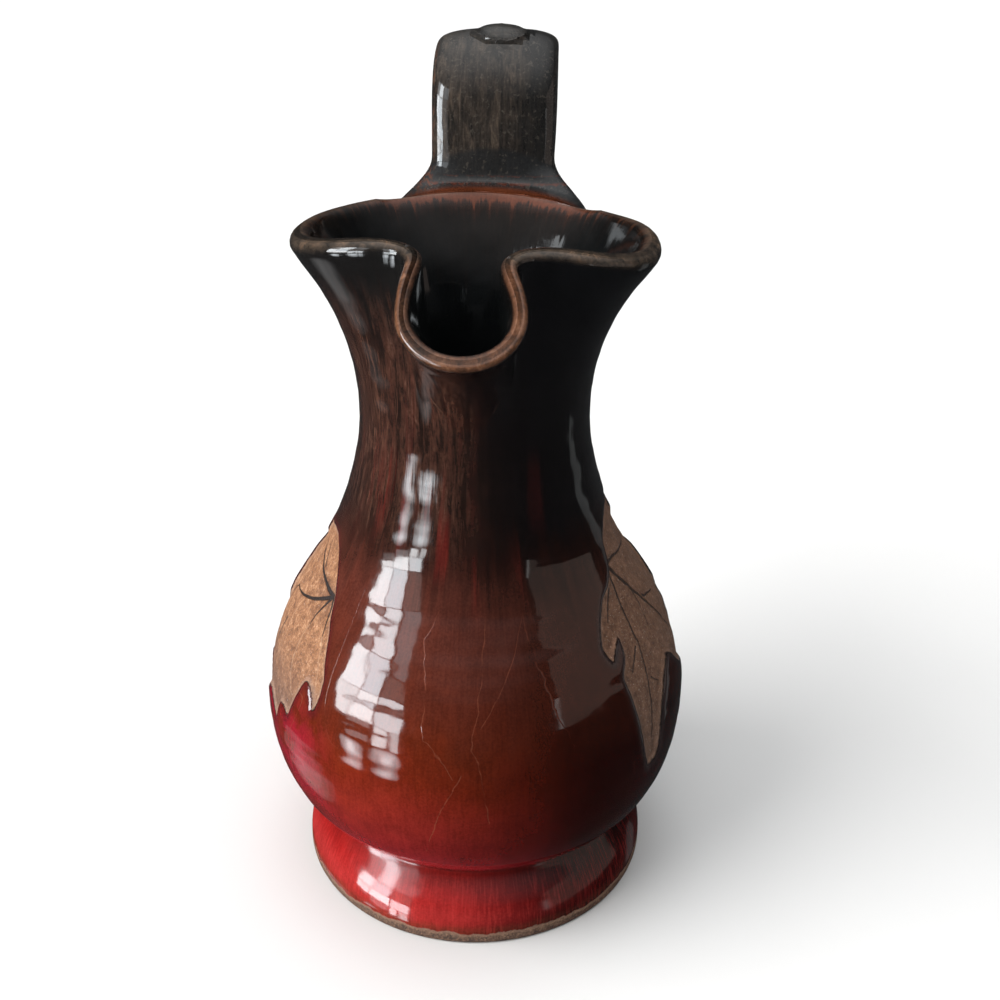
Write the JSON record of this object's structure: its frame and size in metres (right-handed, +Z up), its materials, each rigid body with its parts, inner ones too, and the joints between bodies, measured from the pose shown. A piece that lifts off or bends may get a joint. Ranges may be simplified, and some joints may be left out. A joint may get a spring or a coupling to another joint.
{
  "type": "stoneware pitcher",
  "caption": "Hand-thrown stoneware pitcher: round belly on a flared foot, narrow neck, pinched pouring spout and a tall strap handle arching over from the back of the rim.",
  "frame": {"origin": "centre of the flat underside of the foot, on the axis of the round body", "axes": "+Z up along the axis of the body, -Y towards the spout, +Y towards the handle, +X to the right when the spout faces the viewer"},
  "size_m": [0.12, 0.1634, 0.2289],
  "materials": {
    "glazed_stoneware": "thick glossy glaze, dark brown above and oxblood red below, with bare clay at the foot's edge and in two leaf impressions"
  },
  "bodies": {
    "root": {"pitcher": "glazed_stoneware"}
  },
  "joints": []
}
